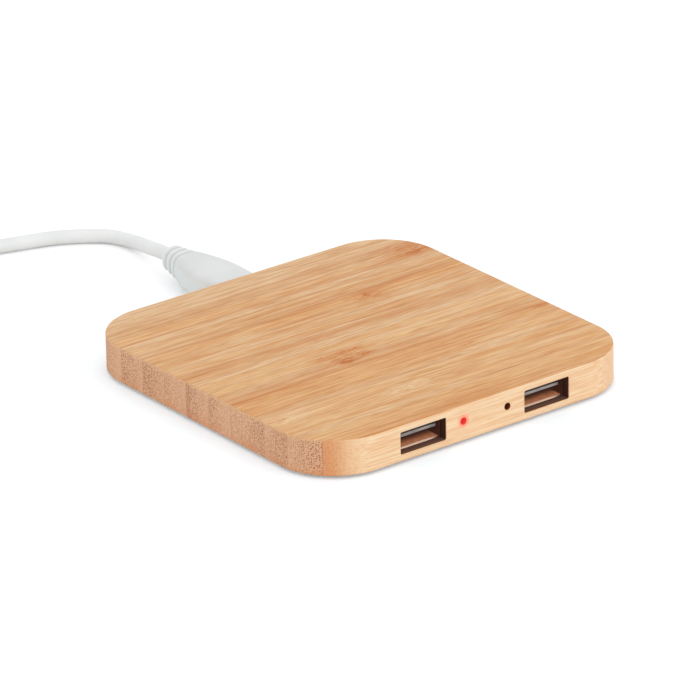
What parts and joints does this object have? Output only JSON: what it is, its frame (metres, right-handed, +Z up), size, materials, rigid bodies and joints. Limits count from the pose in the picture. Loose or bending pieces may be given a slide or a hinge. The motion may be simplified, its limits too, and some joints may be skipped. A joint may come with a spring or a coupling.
{
  "type": "wireless charging pad",
  "caption": "Square bamboo wireless charging pad with USB-A sockets and lamp holes in its front face, and a plugged-in cable that ends in tied loops and a USB-A plug.",
  "frame": {"origin": "middle of the pad's footprint, at the lower faces of its feet", "axes": "+Z up out of the charging face, -Y out of the front face with the USB-A sockets, +Y along the way the cable's plug pulls out of the back face, +X to the right seen from the front"},
  "size_m": [0.1533, 0.166, 0.0093],
  "materials": {
    "bamboo": "laminated bamboo, fine sanded, clear matt oil",
    "cover_plastic": "moulded, fine texture",
    "foot_rubber": "matt",
    "steel": "plated sheet steel",
    "board": "glass-fibre laminate with green solder mask",
    "white_plastic": "moulded",
    "contact_metal": "plated spring strip",
    "red_lamp": "clear cast, lit red",
    "clear_lamp": "clear cast, unlit",
    "black_plastic": "moulded",
    "capacitor_ceramic": "fired, dull",
    "ferrite": "pressed, dull",
    "copper": "lacquered copper wire",
    "plug_plastic": "moulded, satin",
    "cord_sheath": "flexible sheath, satin"
  },
  "bodies": {
    "pad": {"bamboo_housing": "bamboo", "bottom_cover": "cover_plastic", "foot_1": "foot_rubber", "foot_2": "foot_rubber", "foot_3": "foot_rubber", "foot_4": "foot_rubber", "cover_screw_1": "steel", "cover_screw_2": "steel", "cover_screw_3": "steel", "cover_screw_4": "steel", "circuit_board": "board", "usb_socket_shell_left": "steel", "usb_socket_shell_right": "steel", "usb_socket_tongue_left": "white_plastic", "usb_socket_tongue_right": "white_plastic", "usb_contact_left_1": "contact_metal", "usb_contact_left_2": "contact_metal", "usb_contact_left_3": "contact_metal", "usb_contact_left_4": "contact_metal", "usb_contact_right_1": "contact_metal", "usb_contact_right_2": "contact_metal", "usb_contact_right_3": "contact_metal", "usb_contact_right_4": "contact_metal", "lamp_red": "red_lamp", "lamp_clear": "clear_lamp", "micro_inlet_shell": "steel", "micro_inlet_tongue": "black_plastic", "charger_chip": "black_plastic", "bridge_chip_left": "black_plastic", "bridge_chip_right": "black_plastic", "resonance_capacitor_1": "capacitor_ceramic", "resonance_capacitor_2": "capacitor_ceramic", "resonance_capacitor_3": "capacitor_ceramic", "resonance_capacitor_4": "capacitor_ceramic", "hub_chip": "black_plastic", "clock_crystal": "steel", "power_inductor": "ferrite", "bulk_capacitor": "capacitor_ceramic", "ferrite_sheet": "ferrite", "charging_coil": "copper"},
    "cable": {"micro_plug_body": "plug_plastic", "micro_plug_nose": "steel", "micro_plug_carrier": "black_plastic", "cord_front": "cord_sheath", "cord_loops": "cord_sheath", "cord_tie": "plug_plastic", "cord_tail": "cord_sheath", "usb_a_plug_body": "plug_plastic", "usb_a_plug_shell": "steel", "usb_a_plug_carrier": "white_plastic"}
  },
  "joints": [
    {"name": "cable_plug", "type": "slide", "parent": "pad", "child": "cable", "axis": [0, 1, 0], "range_m": [0, 0.012]}
  ]
}
